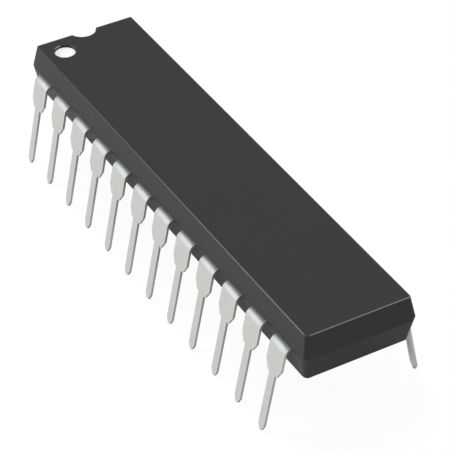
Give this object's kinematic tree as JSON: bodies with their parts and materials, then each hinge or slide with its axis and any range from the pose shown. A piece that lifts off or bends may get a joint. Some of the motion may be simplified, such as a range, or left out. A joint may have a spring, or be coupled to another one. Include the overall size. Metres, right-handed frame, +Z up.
{
  "type": "dip integrated circuit chip",
  "caption": "Dual in-line integrated circuit: dark moulded epoxy body with an index notch and a white dimple, on two rows of splayed tinned leads.",
  "frame": {"origin": "centre of the rectangle that the lead tips stand on", "axes": "+X along the package from the notch end to the other end, +Y across it towards the far row, +Z up"},
  "size_m": [0.0318, 0.01, 0.007],
  "materials": {
    "moulded_epoxy": "fine matt",
    "tinned_metal": "satin",
    "white_paint": "matt",
    "bare_copper": "satin",
    "silver_adhesive": "matt",
    "silicon": "polished",
    "gold_wire": "bright"
  },
  "bodies": {
    "root": {"package_body": "moulded_epoxy", "pin_one_mark": "white_paint", "die_pad": "bare_copper", "die_attach": "silver_adhesive", "silicon_die": "silicon", "lead_01": "tinned_metal", "lead_02": "tinned_metal", "lead_03": "tinned_metal", "lead_04": "tinned_metal", "lead_05": "tinned_metal", "lead_06": "tinned_metal", "lead_07": "tinned_metal", "lead_08": "tinned_metal", "lead_09": "tinned_metal", "lead_10": "tinned_metal", "lead_11": "tinned_metal", "lead_12": "tinned_metal", "lead_13": "tinned_metal", "lead_14": "tinned_metal", "lead_15": "tinned_metal", "lead_16": "tinned_metal", "lead_17": "tinned_metal", "lead_18": "tinned_metal", "lead_19": "tinned_metal", "lead_20": "tinned_metal", "lead_21": "tinned_metal", "lead_22": "tinned_metal", "lead_23": "tinned_metal", "lead_24": "tinned_metal", "bond_wire_01": "gold_wire", "bond_wire_02": "gold_wire", "bond_wire_03": "gold_wire", "bond_wire_04": "gold_wire", "bond_wire_05": "gold_wire", "bond_wire_06": "gold_wire", "bond_wire_07": "gold_wire", "bond_wire_08": "gold_wire", "bond_wire_09": "gold_wire", "bond_wire_10": "gold_wire", "bond_wire_11": "gold_wire", "bond_wire_12": "gold_wire", "bond_wire_13": "gold_wire", "bond_wire_14": "gold_wire", "bond_wire_15": "gold_wire", "bond_wire_16": "gold_wire", "bond_wire_17": "gold_wire", "bond_wire_18": "gold_wire", "bond_wire_19": "gold_wire", "bond_wire_20": "gold_wire", "bond_wire_21": "gold_wire", "bond_wire_22": "gold_wire", "bond_wire_23": "gold_wire", "bond_wire_24": "gold_wire"}
  },
  "joints": []
}
